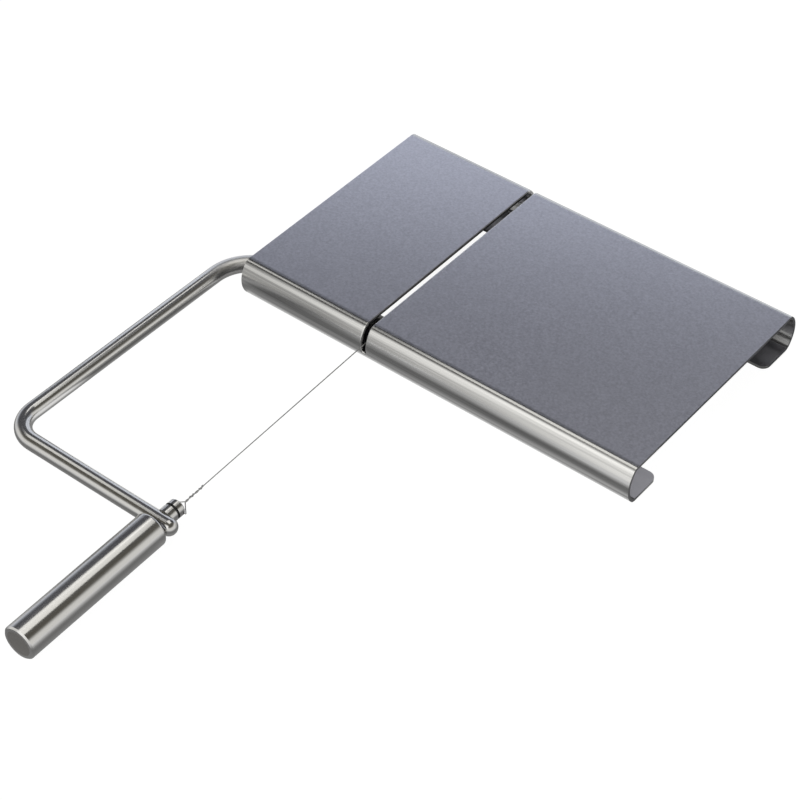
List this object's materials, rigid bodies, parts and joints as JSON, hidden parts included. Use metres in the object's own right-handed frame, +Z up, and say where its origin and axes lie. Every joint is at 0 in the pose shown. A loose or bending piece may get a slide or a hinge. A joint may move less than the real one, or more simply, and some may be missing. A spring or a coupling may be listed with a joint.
{
  "type": "foie gras slicer",
  "caption": "Flat steel slicing board with rolled edges and a wire slot, and a hinged rod bow that swings a taut cutting wire down through it; its handle screws the wire tight.",
  "frame": {"origin": "bottom centre of the whole object's box, with the bow folded out flat on the table; Z is 0 at the table", "axes": "+X along the board, from the arm's end to the far end; +Y across the board, away from the handle; +Z up"},
  "size_m": [0.234, 0.3464, 0.02],
  "materials": {
    "satin_sheet": "satin, fine grain along the length",
    "bar_steel": "fine ground, half bright",
    "handle_steel": "fine ground, half bright",
    "end_steel": "turned, matt",
    "wire_steel": "drawn, bright",
    "fastener_steel": "plain",
    "spring_steel": "dark, oiled",
    "black_polymer": "matt",
    "black_rubber": "smooth",
    "insert_steel": "machined"
  },
  "bodies": {
    "board": {"board_sheet": "satin_sheet", "bearing_block_left": "black_polymer", "bearing_block_middle": "black_polymer", "bearing_block_right": "black_polymer", "block_screws": "fastener_steel"},
    "bow": {"bow_rod": "bar_steel", "axle_retaining_rings": "spring_steel", "cutting_wire": "wire_steel", "wire_end_ferrule": "fastener_steel", "guide_sleeve": "bar_steel", "sleeve_o_ring": "black_rubber", "saddle_washer": "black_polymer"},
    "tension_stud": {"tension_stud": "bar_steel"},
    "handle": {"handle_tube": "handle_steel", "handle_end_plug": "end_steel", "handle_thread_insert": "insert_steel"}
  },
  "joints": [
    {"name": "bow_hinge", "type": "hinge", "parent": "board", "child": "bow", "pos_m": [-0.04797, 0.06031, 0.008], "axis": [-1, 0, 0], "range_deg": [0, 180]},
    {"name": "handle_turn", "type": "hinge", "parent": "bow", "child": "handle", "pos_m": [-0.02432, -0.10809, 0.008], "axis": [0.0201, -0.9998, 0], "range_deg": [0, 1080]},
    {"name": "stud_draw", "type": "slide", "parent": "bow", "child": "tension_stud", "axis": [-0.0201, 0.9998, 0], "range_m": [0, 0.0022], "deforming": ["cutting_wire"]}
  ],
  "couplings": [
    {"joint": "stud_draw", "follows": "handle_turn", "m_per_rad": 0.00011141}
  ]
}
